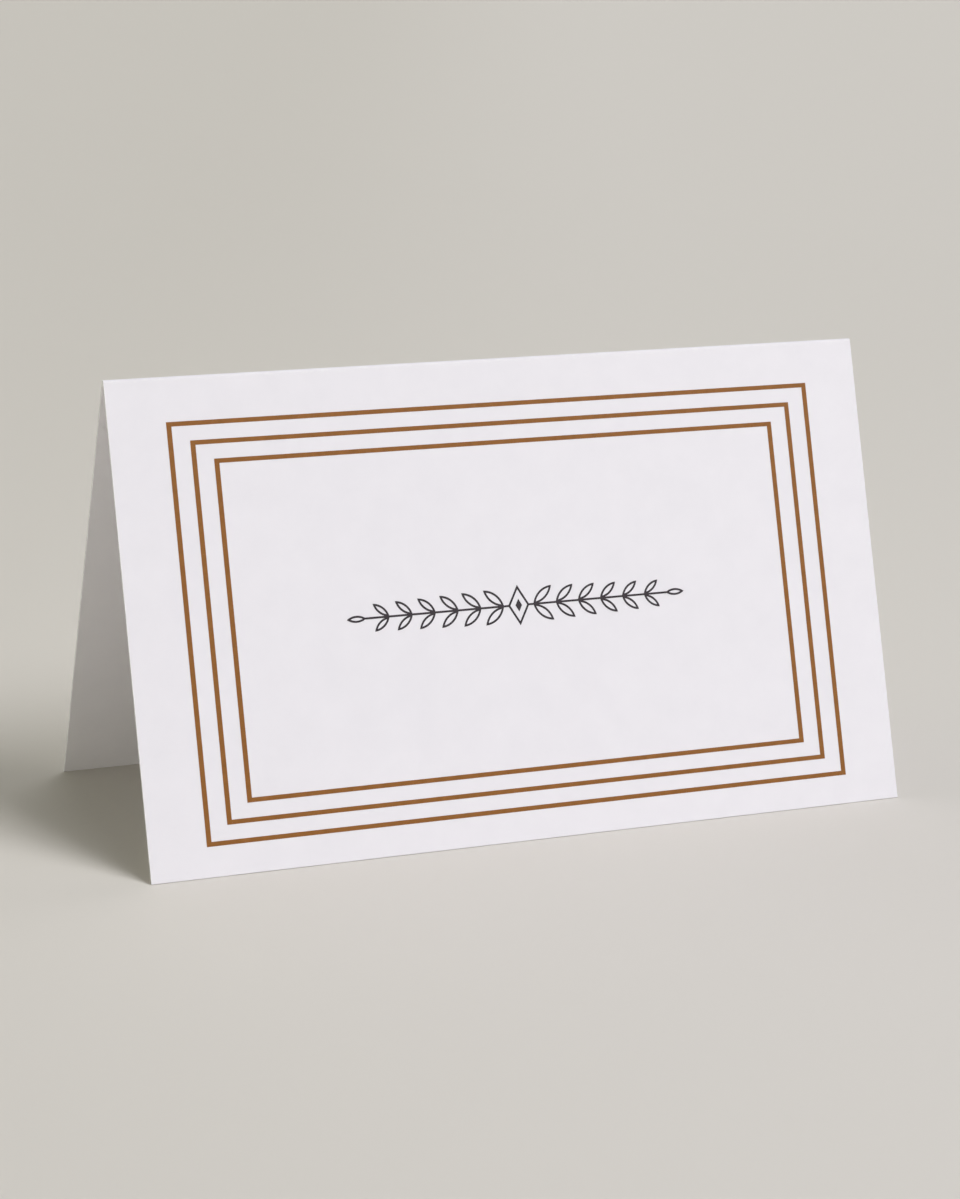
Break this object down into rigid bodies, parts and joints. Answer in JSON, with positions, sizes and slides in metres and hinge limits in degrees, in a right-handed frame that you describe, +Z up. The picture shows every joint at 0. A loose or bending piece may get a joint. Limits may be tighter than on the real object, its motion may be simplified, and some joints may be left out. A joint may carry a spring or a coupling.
{
  "type": "greeting card",
  "caption": "Small folded greeting card of heavy white card that stands as a tent, with a nested ruled border and a leafy ornament printed on its front leaf.",
  "frame": {"origin": "on the table the card stands on, midway between the feet of its leaves and midway along the fold", "axes": "+X along the fold, -Y towards the viewer of the printed front leaf, +Z up"},
  "size_m": [0.127, 0.0526, 0.0716],
  "materials": {
    "card_stock": "matte, faintly toothed",
    "bronze_ink": "satin bronze-brown ink on card",
    "charcoal_ink": "matte charcoal ink on card"
  },
  "bodies": {
    "root": {"card_sheet": "card_stock", "outer_rule": "bronze_ink", "middle_rule": "bronze_ink", "inner_rule": "bronze_ink", "centre_ornament": "charcoal_ink"}
  },
  "joints": []
}
